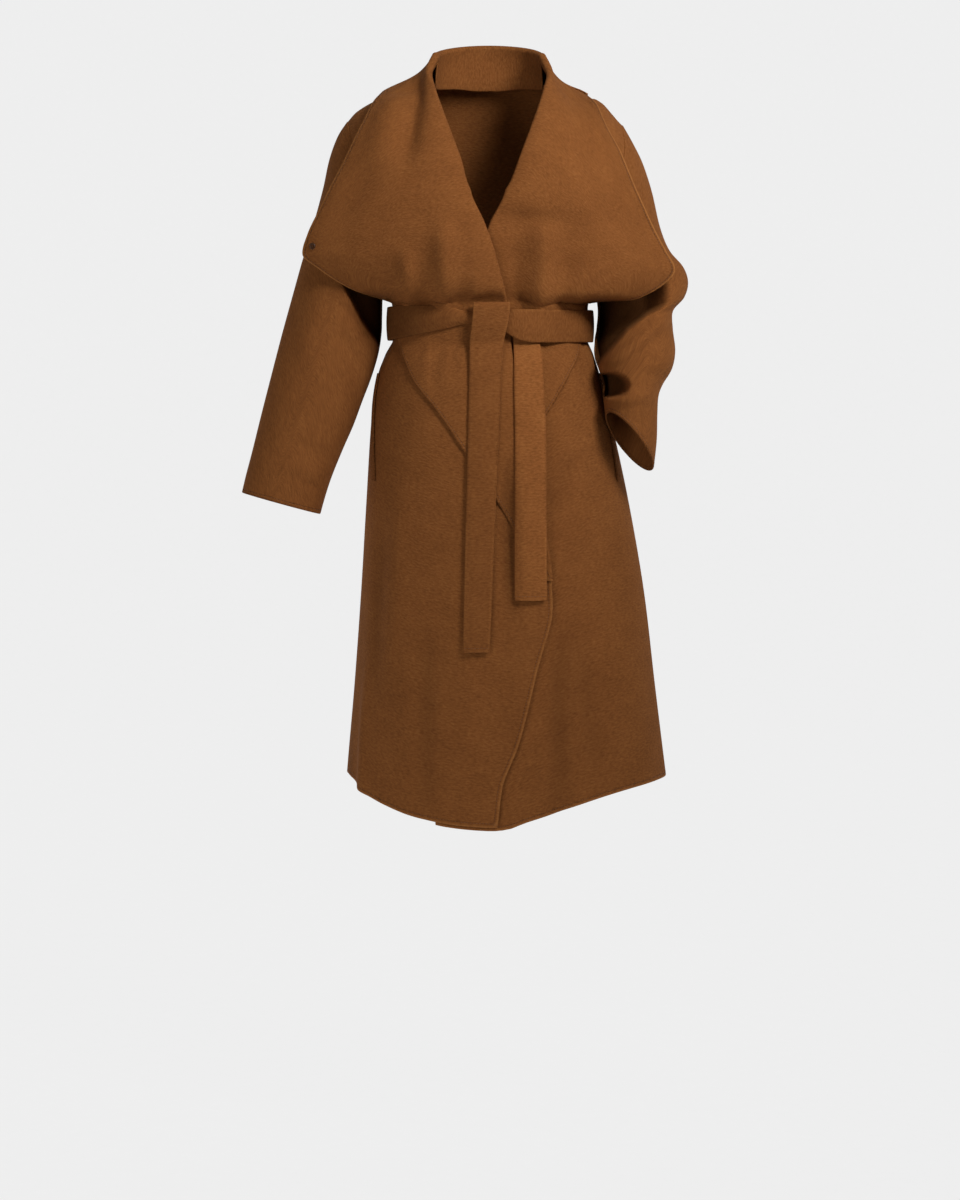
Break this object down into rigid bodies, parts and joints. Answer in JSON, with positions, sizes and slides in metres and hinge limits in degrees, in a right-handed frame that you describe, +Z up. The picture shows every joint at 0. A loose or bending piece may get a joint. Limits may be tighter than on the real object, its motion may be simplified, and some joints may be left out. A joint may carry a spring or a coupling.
{
  "type": "wool wrap coat",
  "caption": "Long belted wrap coat of brushed wool in its worn, hollow form, with wide turned-out shawl lapels, a small stand collar and a knotted cloth belt with hanging ends.",
  "frame": {"origin": "base of the neck, midway between the shoulders, where the coat is carried when worn", "axes": "+Z up from the hem to the neck, -Y towards the front, +X towards the coat's own left side"},
  "size_m": [0.6505, 0.3448, 1.1284],
  "materials": {
    "wool_cloth": "brushed double-faced wool, matt, tobacco brown",
    "button": "dark horn-like plastic"
  },
  "bodies": {
    "root": {"back": "wool_cloth", "front_right": "wool_cloth", "front_left": "wool_cloth", "collar": "wool_cloth", "sleeve_right": "wool_cloth", "sleeve_left": "wool_cloth", "belt": "wool_cloth", "knot": "wool_cloth", "tail_long": "wool_cloth", "tail_short": "wool_cloth", "pocket_welt_right": "wool_cloth", "pocket_welt_left": "wool_cloth", "lapel_button": "button"}
  },
  "joints": []
}
